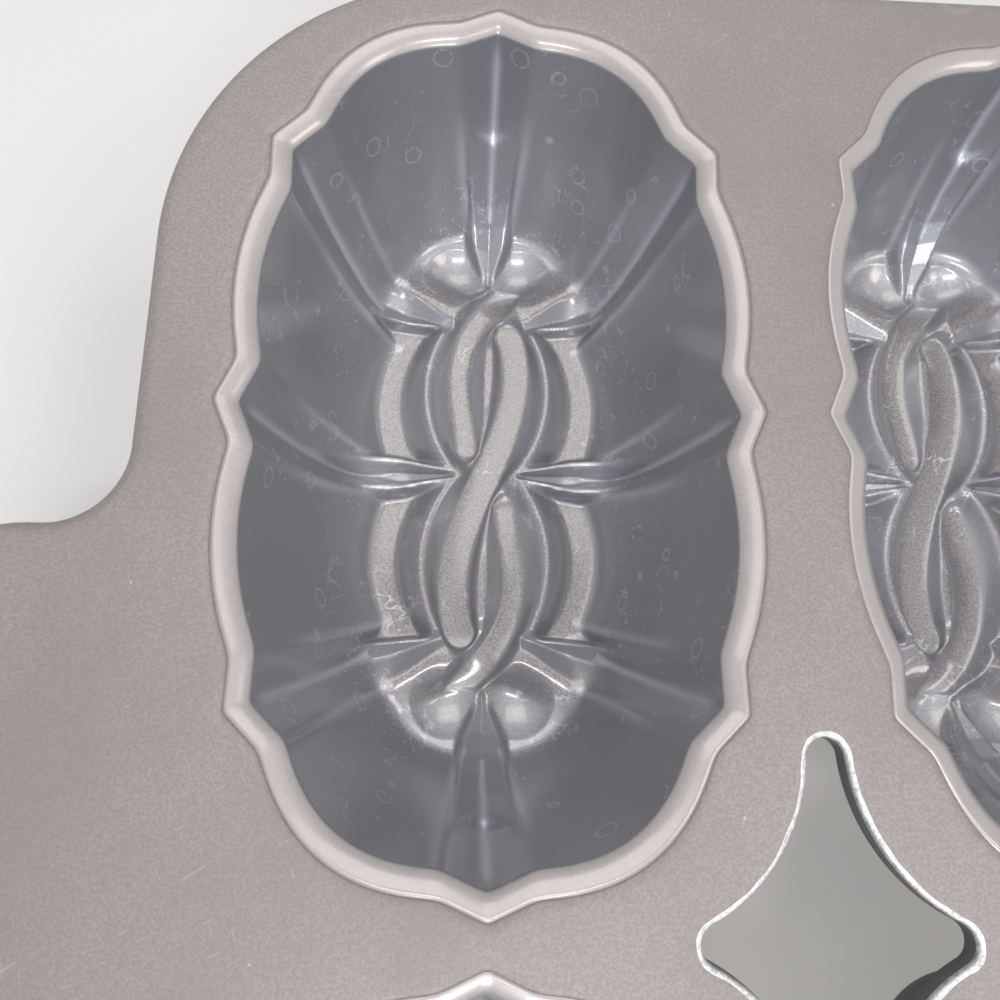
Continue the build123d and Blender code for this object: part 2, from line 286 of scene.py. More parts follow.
def floor_depth(plan, blend=0.22):
    """Depth of the floor's relief under each plan point, as soft maxima of its hollows, grooves and strands.

    The plan is folded into one quarter for the hollows and grooves, which are symmetric, and only turned by
    half for the strands, which are not. The relief runs on outwards without an end: the wall cuts it off.
    """
    across, along = np.abs(plan[:, 0]), np.abs(plan[:, 1])
    folded = np.stack([across, along], 1)
    pocket_along = np.minimum(along, POCKET_END) - POCKET_CENTRE[1]
    pocket_edge = POCKET_CENTRE[0] + np.sqrt(POCKET_RADIUS**2 - pocket_along**2)
    in_twist = 1 - smooth_step(*TWIST_END, along)

    # Middle ribs' grooves, which taper to the waist and bend up into the wall
    middle_half = GROOVE_HALF + GROOVE_WIDENING * smooth_step(5.5, 18.0, across)
    bend = BEND_RATE * np.maximum(across - BEND_START, 0) ** 2
    groove = (1 - smooth_step(0.25, 1.0, along / middle_half)) * smooth_step(4.8, 7.5, across)
    depth = CREST_DEPTH - bend + groove * (GROOVE_DEPTH + GROOVE_DEEPENING * smooth_step(5, 15, across))

    # Side hollows: a flat crescent, a slope up to the pocket's rim, and steep ends beside the grooves
    chord = np.maximum(CRESCENT_RADIUS**2 - (along - CRESCENT_CENTRE[1]) ** 2, CRESCENT_CHORD**2)
    inner_edge = CRESCENT_CENTRE[0] + np.sqrt(chord)
    rim_edge = pocket_edge + RIM_HALF
    inner = ramp((across - rim_edge) / np.maximum(inner_edge - rim_edge, 1.6))
    far_end = CRESCENT_END + CRESCENT_SLANT * across
    ends = smooth_step(0.1, 1.4, along - middle_half) * (1 - smooth_step(far_end - 1.3, far_end - 0.05, along))
    depth = soft_max(depth, CREST_DEPTH + CRESCENT_DEPTH * inner * ends - LEVEL_GAP, blend)

    # Gaps to the two strands, and how far a point lies inside the pocket's rim
    over = curve_through(OVER_STRAND)
    over = np.vstack([-over[:0:-1], over])
    under = curve_through(UNDER_STRAND)
    over_gap = distance_to_line(plan, over)[0]
    under_gap = np.minimum(distance_to_line(plan, under)[0], distance_to_line(-plan, under)[0])
    inside_rim = np.maximum(pocket_edge - RIM_HALF - across, 0)

    # Lobes at both ends: a shallow bowl, held back beside the strand's tail and at the corner groove's crest
    lobe_ring = np.minimum(np.hypot(across - LOBE_CENTRE[0], along - LOBE_CENTRE[1]), LOBE_RADIUS)
    crest = LOBE_CREST + LOBE_CREST_SLANT * (across - 5.0) + LOBE_CREST_CURVE * np.maximum(across - 12, 0) ** 2
    beside_tail = (1 - smooth_step(3.0, 6.0, under_gap)) * (1 - smooth_step(33.0, 37.0, along))
    lobe = LOBE_DEPTH - LOBE_CURVE * lobe_ring**2 - LOBE_SHALLOWING * beside_tail
    depth = soft_max(depth, CREST_DEPTH + lobe * ramp((along - crest - 0.4) / 5.5, 0.2) - LEVEL_GAP, blend)

    # Corner ribs' grooves, which bend up into the wall
    gap, side = distance_to_line(folded, curve_through(CORNER_GROOVE))
    grown = smooth_step(6.0, 16.0, across)
    reach = np.where(side > 0, 1.7 + 1.5 * grown, 1.9 + 2.2 * grown)
    groove = channel(gap, 0.3, 1.5 + 1.6 * grown, reach, 0.0) * smooth_step(4.8, 7.0, across)
    groove = groove - CORNER_BEND_RATE * np.maximum(across - CORNER_BEND_START, 0) ** 2
    depth = soft_max(depth, CREST_DEPTH + groove - LEVEL_GAP, blend)

    # Strands: each one's flanks rise to the rim outside it and to a narrow ridge between the two
    between = np.maximum(over_gap - OVER_FLAT, 0) + np.maximum(under_gap - UNDER_FLAT, 0)
    top = RIM_DEPTH + (RIDGE_DEPTH - RIM_DEPTH) * smooth_step(0.0, 3.0, inside_rim)
    top = top + CLOSE_DEPTH * (1 - smooth_step(1.5, 4.5, between))
    over_run = np.minimum(over_gap - OVER_FLAT + inside_rim, OVER_RUN * between)
    under_run = np.minimum(under_gap - UNDER_FLAT + inside_rim, UNDER_RUN * between)
    under_run = under_run * in_twist + TAIL_RUN * (1 - in_twist)
    tail = UNDER_DEPTH + TAIL_DIP * smooth_step(31.0, 36.0, along) - TAIL_RISE * smooth_step(36.0, 38.5, along)
    strands = channel(over_gap, OVER_FLAT, OVER_DEPTH, over_run, top)
    strands = soft_max(strands, channel(under_gap, UNDER_FLAT, tail, under_run, top), blend)
    inside_pocket = np.maximum(ramp((pocket_edge + 0.1 - across) / 0.7), 1 - in_twist)
    depth = soft_max(depth, CREST_DEPTH + (strands - CREST_DEPTH) * inside_pocket - LEVEL_GAP, blend)

    # End wedge between the lobes: the rib's groove runs down to its apex
    wedge_edge = WEDGE_HALF * np.clip((along - WEDGE_APEX) / WEDGE_LENGTH, 0, 1)
    wedge_edge = wedge_edge + WEDGE_WIDENING * np.maximum(along - WEDGE_APEX - WEDGE_LENGTH, 0)
    wedge = np.interp(along, WEDGE_Y, WEDGE_DEPTH) - WEDGE_SLOPE * across
    inside_wedge = (1 - smooth_step(-0.7, 0.8, across - wedge_edge)) * smooth_step(36.0, 38.4, along)
    return depth * (1 - inside_wedge) + wedge * inside_wedge


def foot_blend(plan):
    """Width over which the floor runs up into the wall: wide in the lobes and the ribs' grooves, else narrow."""
    across, along = np.abs(plan[:, 0]), np.abs(plan[:, 1])
    corner = distance_to_line(np.stack([across, along], 1), curve_through(CORNER_GROOVE))[0]
    in_groove = np.maximum(1 - smooth_step(1.5, 5.0, corner), 1 - smooth_step(1.0, 3.5, along))
    in_groove = in_groove * smooth_step(12.0, 18.0, across)
    return FOOT_BLEND + np.maximum(GROOVE_BLEND * in_groove, LOBE_BLEND * smooth_step(34.0, 40.0, along))


# Meshes

# In metres: points nearer than this are one, and edges shorter than this are dropped
MERGE_DISTANCE, LEAST_EDGE = 1e-6, 1e-7


def make_object(name, points, faces, slots, materials, marks=None):
    """A mesh object at the origin from points in millimetres, with its doubles merged and faces outwards.

    marks holds numbers for each point by name, which the materials read as attributes of those names.
    """
    mesh = bpy.data.meshes.new(name)
    mesh.from_pydata((np.asarray(points) * MILLIMETRE).tolist(), [], faces)
    for key, values in (marks or {}).items():
        mesh.attributes.new(key, "FLOAT", "POINT").data.foreach_set("value", values.ravel().astype(np.float32))
    for material in materials:
        mesh.materials.append(material)
    mesh.polygons.foreach_set("material_index", np.asarray(slots, np.int32))
    work = bmesh.new()
    work.from_mesh(mesh)
    bmesh.ops.remove_doubles(work, verts=work.verts, dist=MERGE_DISTANCE)
    bmesh.ops.dissolve_degenerate(work, dist=LEAST_EDGE, edges=work.edges)
    bmesh.ops.recalc_face_normals(work, faces=work.faces)
    work.to_mesh(mesh)
    work.free()
    mesh.shade_smooth()
    piece = bpy.data.objects.new(name, mesh)
    bpy.context.scene.collection.objects.link(piece)
    return piece


def ring_faces(rings, count, start=0):
    """Quads between neighbouring rings of count points each, closed round, as an (n, 4) array."""
    row = (np.arange(rings - 1) * count)[:, None]
    here = np.arange(count)[None]
    there = (here + 1) % count
    quads = np.stack([row + here, row + there, row + count + there, row + count + here], -1)
    return quads.reshape(-1, 4) + start


# Rings of a cup. The wall is followed down to FOOT_SHARE of the crests' depth, under the floor, from where the
# floor's rings shrink to a line of SPINE_SHARE of the foot's length.
FOOT_SHARE, SPINE_SHARE = 1.2, 0.62
FLOOR_RINGS = 66
WALL_SHARES = np.concatenate([np.linspace(FOOT_SHARE, 0.9, 14), np.linspace(0.9, 0.08, 18)[1:], [0.04, 0.015]])
MOUTH_RING = FLOOR_RINGS + len(WALL_SHARES)
LIP_RINGS = 13
# Depth that keeps the wall clear of the floor's middle
FLOOR_CLEARANCE = 45.0
# The lip's fall: the part that is a plain slope, and the rest, a fifth power that turns down at the mouth. Its rings
# lie closer there, by the power LIP_SPACING.
LIP_SLOPE, LIP_TURN, LIP_SPACING = 0.6, 0.4, 0.6
# Under the deck the outside flares by FLARE over FLARE_HEIGHT, and its foot is rounded by FOOT_RADIUS
FLARE, FLARE_HEIGHT, FOOT_RADIUS = 1.5, 2.2, 4.6
# The base is hollow where the floor is high: the depth of its lowest parts, and the share of the relief it shows
BASE_DEPTH, BASE_RELIEF = CREST_DEPTH + 4.4, 0.55
# Cosine of the steepest slope that counts as level, and how strongly the lobes and the middle ribs' grooves are
# lightened as painted light
LEVEL_COSINE, LOBE_PAINTED_LIGHT, GROOVE_PAINTED_LIGHT = 0.77, 0.36, 0.30


def flatness(rings):
    """1 where the rings' surface lies nearly level and 0 where it is steeper than about 40 degrees.

    The normal is the cross product of the differences along each ring and from ring to ring.
    """
    along = np.roll(rings, -1, 1) - np.roll(rings, 1, 1)
    across = np.gradient(rings, axis=0)
    normal = np.cross(along, across)
    length = np.maximum(np.linalg.norm(normal, axis=2), 1e-9)
    return smooth_step(LEVEL_COSINE, 1.0, np.abs(normal[..., 2]) / length)


def at_height(plan, height):
    """Points in plan as points in space, all at one height."""
    return np.column_stack([plan, np.full(len(plan), height)])


def cup_rings(mm):
    """Every ring of a cup about its own centre, as (rings, points, 3), from the floor's middle up the inside,
    over the lip, and down the outside to the middle of the base.

    Inside, the depth is the soft minimum of the ring's own depth on the wall and of the floor's relief.
    """
    spine = np.array([0.0, SPINE_SHARE])

    def inside(plan, wall_depth):
        depth = soft_min(wall_depth, floor_depth(plan), foot_blend(plan) * smooth_step(3.0, 16.0, wall_depth))
        return np.column_stack([plan, mm.mouth_level - depth])

    def level_ring(grow, share, height):
        return at_height(cup_outline(mm, grow, share), height)

    foot = cup_outline(mm, 0.0, FOOT_SHARE)
    middle = foot * spine
    rings = []
    for share in np.linspace(1.0, 0.0, FLOOR_RINGS + 1)[:-1]:
        rings.append(inside(foot + (middle - foot) * share, CREST_DEPTH * FOOT_SHARE + FLOOR_CLEARANCE * share))
    for share in WALL_SHARES:
        rings.append(inside(cup_outline(mm, 0.0, share), CREST_DEPTH * share))

    # The lip's section: a gentle slope from the deck that turns down steeply at the mouth
    fall = mm.lip_drop - mm.lip_step
    for across in np.linspace(1.0, 0.0, LIP_RINGS) ** LIP_SPACING:
        height = mm.mouth_level + fall * (1 - LIP_SLOPE * across - LIP_TURN * across**5)
        rings.append(level_ring(mm.lip_width * (1 - across), 0.0, height))

    # Outside: down inside the deck's opening, a small flare under the deck, the wall and the rounded foot
    under_deck = mm.deck_top - mm.deck_thickness
    rings.append(level_ring(mm.lip_width, 0.0, under_deck + 0.3))
    rings.append(level_ring(mm.lip_width + FLARE, 0.0, under_deck + 0.05))
    for angle in np.radians((20, 45, 70)):
        height = under_deck - FLARE_HEIGHT * (1 - np.cos(angle))
        share = (mm.mouth_level - height) / CREST_DEPTH
        rings.append(level_ring(mm.wall + FLARE * (1 - np.sin(angle)), share, height))
    for share in np.linspace(0.12, 0.97, 12):
        rings.append(level_ring(mm.wall, share, mm.mouth_level - CREST_DEPTH * share))
    for angle in np.radians(np.linspace(0, 90, 9)):
        height = (mm.mouth_level - CREST_DEPTH) * (1 - np.sin(angle))
        rings.append(level_ring(mm.wall - FOOT_RADIUS * (1 - np.cos(angle)), 1.0, height))

    # Base: rings that shrink to the spine and rise a little under the crests of the floor
    base = rings[-1][:, :2]
    middle = base * spine
    for share in np.linspace(0.0, 1.0, 18)[1:]:
        plan = base + (middle - base) * share
        hump = np.clip(BASE_DEPTH - floor_depth(plan * 0.94, 1.2), 0, 4) * BASE_RELIEF * smooth_step(0, 0.2, share)
        rings.append(np.column_stack([plan, hump]))
    return np.array(rings)


def painted_light_marks(mm, rings):
    """Painted light and flatness of a cup at each sample of its rings, as two arrays by name, for its coating.

    The ribs get painted highlight lines on their points and feet, and the lobes and the middle ribs' grooves an even
    painted lightening. The lobes count as level, so the coating gives them the painted lit tone of level floors too.
    """
    painted_light, level = np.zeros(rings.shape[:2]), np.zeros(rings.shape[:2])
    # Painted highlights: light lines down the ribs' points and feet
    painted_light[FLOOR_RINGS:MOUTH_RING] = [rib_highlight(share) for share in WALL_SHARES]
    inside = rings[:MOUTH_RING]
    across, along = np.abs(inside[..., 0]), np.abs(inside[..., 1])
    below_crests = mm.mouth_level - inside[..., 2] - CREST_DEPTH
    in_lobes = smooth_step(33.5, 36.0, along) * smooth_step(0.0, 1.5, below_crests)
    in_groove = (1 - smooth_step(1.2, 2.6, along)) * smooth_step(6.0, 10.0, across)
    in_groove = in_groove * smooth_step(-6.0, -1.0, below_crests)
    level[:MOUTH_RING] = np.maximum(flatness(inside), in_lobes)
    # Painted light: the lobes and the middle ribs' grooves lightened evenly
    even = np.maximum(LOBE_PAINTED_LIGHT * in_lobes, GROOVE_PAINTED_LIGHT * in_groove)
    painted_light[:MOUTH_RING] = np.maximum(painted_light[:MOUTH_RING], even)
    return {"painted_light": painted_light, "level": level}


# A grip's outer corners and the hollow where it leaves the deck: their radii as shares of its reach
GRIP_CORNER, GRIP_ROOT = 0.52, 0.4


def arc(centre, radius, angles):
    """Points in plan on a circle about a centre, at angles in radians."""
    return np.column_stack([centre[0] + radius * np.cos(angles), centre[1] + radius * np.sin(angles)])


def deck_outline(mm, inset):
    """The deck's outer line in plan, moved in by inset: arcs about fixed centres, joined by straight runs."""
    end, side = mm.deck_length / 2, mm.deck_width / 2
    corner, root = mm.grip_reach * GRIP_CORNER, mm.grip_reach * GRIP_ROOT
    grip_half = mm.grip_length / 2
    arcs = [
        # centre, radius, first and last bearing, steps
        ((end + mm.grip_reach - corner, grip_half - corner), corner - inset, 0, 90, 16),
        ((end + root, grip_half + root), root + inset, 270, 180, 16),
        ((end - mm.deck_corner, side - mm.deck_corner), mm.deck_corner - inset, 0, 90, 40),
    ]
    quarter = np.vstack([
        arc(centre, radius, np.radians(np.linspace(first, last, steps)))
        for centre, radius, first, last, steps in arcs
    ])
    half = np.vstack([quarter, (quarter * (-1, 1))[::-1]])
    return np.vstack([half, -half])


def star_outline(mm, inset):
    """The star cut-out about its centre, made smaller by inset: arcs about fixed centres, each a quarter in turn.

    A round tip of radius t on each axis, and a hollow arc that touches both and comes s nearer to the middle
    than the line between the tips' centres, which are 2h apart: its radius is (h^2 + (s + t)^2) / 2(s + t) - t.
    """
    tip = mm.star_tip
    wide = np.array([mm.star_width - tip, 0.0])
    long = np.array([0.0, mm.star_length - tip])
    half_span = np.hypot(*(long - wide)) / 2
    hollow = mm.star_hollow + tip
    reach = (half_span**2 + hollow**2) / (2 * hollow)
    outward = np.array([long[1], wide[0]]) / (2 * half_span)
    centre = (wide + long) / 2 + outward * (reach - hollow)
    first, last = [np.arctan2(*(centre - end)[::-1]) for end in (wide, long)]
    quarter = np.vstack([
        arc(wide, tip - inset, np.linspace(0.0, first, 10)),
        arc(centre, reach - tip + inset, np.linspace(first + np.pi, last + np.pi, 44))[1:-1],
        arc(long, tip - inset, np.linspace(last, np.pi / 2, 10)),
    ])
    half = np.vstack([quarter, (quarter * (-1, 1))[-2:0:-1]])
    return np.vstack([half, -half])


def inside_loop(points, loop):
    """Whether points lie inside a closed line, by counting the edges that a ray to the right crosses."""
    x, y = points[:, :1], points[:, 1:]
    ax, ay = loop[:, 0][None], loop[:, 1][None]
    bx, by = np.roll(ax, -1, 1), np.roll(ay, -1, 1)
    level = np.where(by == ay, 1.0, by - ay)
    crosses = ((ay > y) != (by > y)) & (x < ax + (y - ay) * (bx - ax) / level)
    return crosses.sum(1) % 2 == 1


def flat_sheet(outer, holes):
    """Triangles that fill the outer loop but not the holes, as points and an (n, 3) array."""
    loops = [outer] + holes
    points = np.vstack(loops)
    edges = []
    start = 0
    for loop in loops:
        here = np.arange(len(loop))
        edges += np.column_stack([start + here, start + (here + 1) % len(loop)]).tolist()
        start += len(loop)
    found = delaunay_2d_cdt([Vector(p) for p in points.tolist()], edges, [], 1, 1e-5)
    plan = np.array([tuple(v) for v in found[0]])
    triangles = np.array([list(face) for face in found[2] if len(face) == 3])
    middle = plan[triangles].mean(1)
    keep = inside_loop(middle, outer)
    for hole in holes:
        keep &= ~inside_loop(middle, hole)
    return plan, triangles[keep]


def cup_places():
    """The centre of each cup from its node's box."""
    places = {}
    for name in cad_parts:
        if name.startswith("cup_"):
            low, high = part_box(name)
            places[name] = np.array((low + high) / 2 / MILLIMETRE)[:2]
    return places


def in_millimetres(sizes):
    """The sizes of the property group in millimetres, with those that follow from the frame."""
    values = {name: getattr(sizes, name) / MILLIMETRE for name in sizes.__annotations__}
    low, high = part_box("deck")
    cup_low, cup_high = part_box("cup_back_1")
    values["deck_top"] = high.z / MILLIMETRE
    values["deck_width"] = (high.y - low.y) / MILLIMETRE
    values["deck_length"] = (high.x - low.x) / MILLIMETRE - 2 * values["grip_reach"]
    values["half_width"] = (cup_high.x - cup_low.x) / MILLIMETRE / 2 - values["lip_width"]
    values["half_length"] = (cup_high.y - cup_low.y) / MILLIMETRE / 2 - values["lip_width"]
    values["mouth_level"] = values["deck_top"] - values["lip_drop"]
    return SimpleNamespace(**values)


# Shader maths and materials


class Field:
    """A socket, with arithmetic that adds Math nodes to the socket's tree."""

    def __init__(self, shader, socket):
        self.shader = shader
        self.socket = socket

    def _math(self, operation, first, second):
        return self.shader.node("ShaderNodeMath", {"operation": operation}, {0: first, 1: second})[0]

    def __add__(self, other):
        return self._math("ADD", self, other)

    def __sub__(self, other):
        return self._math("SUBTRACT", self, other)

    def __rsub__(self, other):
        return self._math("SUBTRACT", other, self)

    def __mul__(self, other):
        return self._math("MULTIPLY", self, other)

    __radd__ = __add__
    __rmul__ = __mul__

    def smallest(self, other):
        return self._math("MINIMUM", self, other)

    def between(self, low, high):
        """0 below low and 1 above high, eased, or the other way round where low is above high."""
        values = {"Value": self, "From Min": low, "From Max": high}
        return self.shader.node("ShaderNodeMapRange", {"interpolation_type": "SMOOTHSTEP"}, values)[0]


class Shader:
    """The node tree of a new material or world, filled one node at a time."""

    def __init__(self, name, kind="materials"):
        self.owner = getattr(bpy.data, kind).new(name)
        self.owner.use_nodes = True
        self.tree = self.owner.node_tree
        self.tree.nodes.clear()

    def node(self, kind, settings=None, values=None):
        """Makes a node: its settings first, then the values or links of its sockets. Returns its outputs."""
        made = self.tree.nodes.new(kind)
        for key, value in (settings or {}).items():
            setattr(made, key, value)
        for key, value in (values or {}).items():
            if isinstance(value, Field):
                self.tree.links.new(value.socket, made.inputs[key])
            else:
                made.inputs[key].default_value = value
        return [Field(self, socket) for socket in made.outputs]

    def place(self):
        """The object's own coordinates, in metres. So a pattern's scale is in cells per metre."""
        return self.node("ShaderNodeTexCoord")[3]

    def noise(self, place, scale, detail=2.0, roughness=0.5):
        values = {"Vector": place, "Scale": scale, "Detail": detail, "Roughness": roughness}
        return self.node("ShaderNodeTexNoise", None, values)[0]

    def cells(self, place, scale, feature="F1"):
        """Distance to a cell's point or edge, and the cell's own random colour."""
        return self.node("ShaderNodeTexVoronoi", {"feature": feature}, {"Vector": place, "Scale": scale})

    def stretched(self, place, scale):
        """The place with each axis multiplied by its own scale."""
        return self.node("ShaderNodeMapping", None, {"Vector": place, "Scale": scale})[0]

    def warped(self, place, scale, reach):
        """The place moved about by up to half of reach, by the three channels of a noise."""
        wobble = self.node("ShaderNodeTexNoise", None, {"Vector": place, "Scale": scale})[1]
        centred = self.node("ShaderNodeVectorMath", {"operation": "SUBTRACT"}, {0: wobble, 1: (0.5, 0.5, 0.5)})[0]
        moved = self.node("ShaderNodeVectorMath", {"operation": "SCALE"}, {0: centred, "Scale": reach})[0]
        return self.node("ShaderNodeVectorMath", {"operation": "ADD"}, {0: place, 1: moved})[0]

    def part(self, value, number):
        """One channel of a colour, or one axis of a place: 0, 1 or 2."""
        return self.node("ShaderNodeSeparateXYZ", None, {"Vector": value})[number]

    def mark(self, name):
        """The number that make_object stored for each point under this name."""
        return self.node("ShaderNodeAttribute", {"attribute_name": name})[2]

    def mix(self, factor, first, second):
        """The first colour where factor is 0 and the second where it is 1."""
        return self.node("ShaderNodeMix", {"data_type": "RGBA"}, {0: factor, 6: first, 7: second})[2]

    def bump(self, height, distance):
        return self.node("ShaderNodeBump", None, {"Height": height, "Distance": distance, "Strength": 1.0})[0]

    def seen(self):
        """1 on camera, glossy and transmission rays, and 0 on the rays that only bring light."""
        ray = self.node("ShaderNodeLightPath")
        return (ray[0] + ray[3] + ray[6]).smallest(1.0)

    def finish(self, values, backdrop=None):
        """A Principled surface with these values, as the material's output.

        The camera and reflections see BACKDROP_SHARE of a backdrop's plain colour in it, where one is given.
        """
        surface = self.node("ShaderNodeBsdfPrincipled", None, values)[0]
        if backdrop:
            plain = self.node("ShaderNodeEmission", None, {"Color": backdrop, "Strength": 1.0})[0]
            factor = self.seen() * BACKDROP_SHARE
            surface = self.node("ShaderNodeMixShader", None, {0: factor, 1: surface, 2: plain})[0]
        self.node("ShaderNodeOutputMaterial", None, {"Surface": surface})
        return self.owner


def tinted(colour, factor):
    """A colour made lighter or darker, with its alpha."""
    return (*[min(c * factor, 1.0) for c in colour], 1.0)


def hair_lines(shader, place, scale, width):
    """Broken hair lines: the edges of warped cells, kept only where a coarser noise is high."""
    edge = shader.cells(shader.warped(place, scale * 1.7, 1.1 / scale), scale, "DISTANCE_TO_EDGE")[0]
    patch = shader.noise(place, scale * 0.55, 3.0, 0.65)
    return edge.between(width, width * 0.35) * patch.between(0.56, 0.66)


def dried_rings(shader, place, scale, share):
    """Faint rings left by drops: a band of distance round a chosen share of scattered points."""
    cell = shader.cells(place, scale)
    band = cell[0].between(0.20, 0.23) * cell[0].between(0.29, 0.25)
    return band * shader.part(cell[1], 0).between(1.0 - share - 0.02, 1.0 - share)


def flakes(shader, place, scale, share):
    """Specks the size of a metal flake: whole cells of a chosen share, by each cell's random colour."""
    return shader.part(shader.cells(place, scale)[1], 0).between(1.0 - share - 0.02, 1.0 - share)


def strokes(shader, place, turn, length, width, share):
    """Short straight strokes in one direction: a noise stretched to that length and width, cut off high up."""
    values = {"Vector": place, "Rotation": turn, "Scale": (length, width, width)}
    along = shader.node("ShaderNodeMapping", {"vector_type": "TEXTURE"}, values)[0]
    return shader.noise(along, 1.0, 0.0).between(1.0 - share, 1.05 - share)


def cup_coating(colours):
    """Grey metal-flake coating inside a cup: fine sparkle, dried drops, light vertical streaks and hair scratches,
    with painted reflections, painted highlights and a painted lit tone on the level floors.
    """
    shader = Shader("cup_coating")
    place = shader.place()
    grain = shader.noise(place, 3000.0, 1.0)
    cloud = shader.noise(place, 45.0, 3.0, 0.6)
    colour = shader.mix(grain.between(0.28, 0.72), tinted(colours.cup, 0.95), tinted(colours.cup, 1.05))
    # Painted reflections: broad lighter blotches from a coarse noise, as the walls' reflections of their surroundings
    colour = shader.mix(cloud.between(0.35, 0.70) * 0.7, tinted(colours.cup, 1.12), colour)
    height = shader.part(place, 2)
    # Painted lit tone: the level floors, found by their slope, and the lobes mostly take a warm sandy grain in place
    # of the grey, standing in for the overhead light on them
    level = shader.mark("level") * height.between(0.016, 0.011)
    lit_floor_tone = shader.mix(grain.between(0.33, 0.67), tinted(colours.deck, 0.46), tinted(colours.deck, 0.88))
    colour = shader.mix(level * 0.9, colour, lit_floor_tone)
    # Light vertical streaks in patches on the lower walls
    wall_streaks = strokes(shader, place, (0.0, 1.5708, 0.0), 0.010, 0.00045, 0.30) * height.between(0.004, 0.008)
    wall_streaks = wall_streaks * height.between(0.022, 0.011) * shader.noise(place, 90.0, 2.0).between(0.46, 0.58)
    drops = dried_rings(shader, place, 170.0, 0.30) * height.between(0.010, 0.014) * grain.between(0.35, 0.5)
    marks = hair_lines(shader, place, 210.0, 0.034) * 0.7 + wall_streaks * 0.7 + drops * 0.6
    # The painted light mark joins the real marks here: painted highlights down the ribs and painted lightening of the
    # lobes and the middle grooves
    marks = (marks + shader.mark("painted_light")).smallest(1.0)
    colour = shader.mix(marks * 0.75, colour, tinted(colours.cup, 2.3))
    spark = flakes(shader, place, 3300.0, 0.06)
    roughness = 0.40 + cloud * 0.08 + grain * 0.12 - spark * 0.10
    return shader.finish({
        "Base Color": colour, "Metallic": 0.6, "Roughness": roughness,
        "Normal": shader.bump(grain + marks * 0.5, 0.00003),
        "Coat Weight": 0.9, "Coat IOR": 1.8, "Coat Roughness": 0.15,
    })


def lip_coating(colours):
    """The coating on the lips, smooth and painted lighter for the light the lips catch: warmer and less grainy than
    inside, with a painted sheen of broad brighter blotches.
    """
    shader = Shader("lip_coating")
    place = shader.place()
    grain = shader.noise(place, 2300.0, 1.0)
    cloud = shader.noise(place, 120.0, 3.0, 0.6)
    # Painted light: the deck's colour made about a third lighter, standing in for the light the lips catch
    colour = shader.mix(grain.between(0.3, 0.7), tinted(colours.deck, 1.26), tinted(colours.deck, 1.36))
    # Painted sheen: broad brighter blotches from a coarse noise
    colour = shader.mix(cloud.between(0.4, 0.7) * 0.35, colour, tinted(colours.deck, 1.48))
    marks = hair_lines(shader, place, 330.0, 0.03)
    colour = shader.mix(marks * 0.4, colour, tinted(colours.deck, 1.7))
    return shader.finish({
        "Base Color": colour, "Metallic": 0.3, "Roughness": 0.38 + cloud * 0.1,
        "Normal": shader.bump(grain, 0.00001),
        "Coat Weight": 0.7, "Coat IOR": 1.8, "Coat Roughness": 0.16,
    })


def deck_coating(colours):
    """The same coating on the deck, rougher and pebbled, with specks, short scratches and a few dried drops."""
    shader = Shader("deck_coating")
    place = shader.place()
    pebble = shader.noise(place, 950.0, 2.0)
    fine = shader.noise(place, 2600.0, 1.0)
    cloud = shader.noise(place, 14.0, 4.0, 0.65)
    colour = shader.mix(fine.between(0.3, 0.7), tinted(colours.deck, 0.88), tinted(colours.deck, 1.12))
    colour = shader.mix(pebble.between(0.35, 0.7) * 0.35, colour, tinted(colours.deck, 0.88))
    colour = shader.mix(cloud.between(0.4, 0.7) * 0.6, colour, tinted(colours.deck, 0.80))
    speck = shader.cells(place, 230.0)
    specks = speck[0].between(0.07, 0.03) * shader.part(speck[1], 0).between(0.78, 0.80)
    scratches = strokes(shader, place, (0.0, 0.0, 0.5), 0.003, 0.0004, 0.20)
    scratches = scratches + strokes(shader, place, (0.0, 0.0, 1.9), 0.0025, 0.0004, 0.20)
    scratches = scratches * shader.noise(place, 35.0, 2.0).between(0.5, 0.62)
    marks = (scratches * 0.35 + dried_rings(shader, place, 80.0, 0.15) * 0.2 + specks).smallest(1.0)
    colour = shader.mix(marks * 0.6, colour, tinted(colours.deck, 1.9))
    return shader.finish({
        "Base Color": colour, "Metallic": 0.35, "Roughness": 0.52 + cloud * 0.1,
        "Normal": shader.bump(pebble + fine * 0.3 + marks * 0.8, 0.00005),
        "Coat Weight": 0.10, "Coat Roughness": 0.30,
    })


def cut_metal(colours):
    """Bare aluminium where the star cut-outs were stamped: bright, with burrs and short drag marks."""
    shader = Shader("cut_metal")
    place = shader.place()
    burr = shader.noise(place, 1100.0, 3.0, 0.7)
    drag = shader.noise(shader.stretched(place, (2600.0, 2600.0, 250.0)), 1.0, 2.0)
    colour = shader.mix(burr.between(0.38, 0.6), tinted(colours.bare, 0.62), tinted(colours.bare, 0.95))
    colour = shader.mix(drag.between(0.4, 0.7) * 0.3, colour, tinted(colours.bare, 0.7))
    return shader.finish({
        "Base Color": colour, "Metallic": 0.35, "Roughness": 0.30 + burr * 0.2,
        "Normal": shader.bump(burr + drag, 0.0001),
    })


def underside_coating(colours):
    """The outside of the cups and the deck's underside: an even satin coat over a sand-cast skin."""
    shader = Shader("underside_coating")
    place = shader.place()
    sand = shader.noise(place, 700.0, 3.0, 0.6)
    cloud = shader.noise(place, 25.0, 3.0, 0.6)
    coat = colours.underside
    colour = shader.mix(cloud.between(0.3, 0.75) * 0.5, tinted(coat, 1.0), tinted(coat, 0.8))
    return shader.finish({
        "Base Color": colour, "Metallic": 0.6, "Roughness": 0.48 + cloud * 0.1,
        "Normal": shader.bump(sand, 0.00012),
    })


# Properties, operators and panel

LENGTH = {"unit": "LENGTH", "subtype": "DISTANCE"}
COLOUR = {"subtype": "COLOR", "min": 0.0, "max": 1.0}


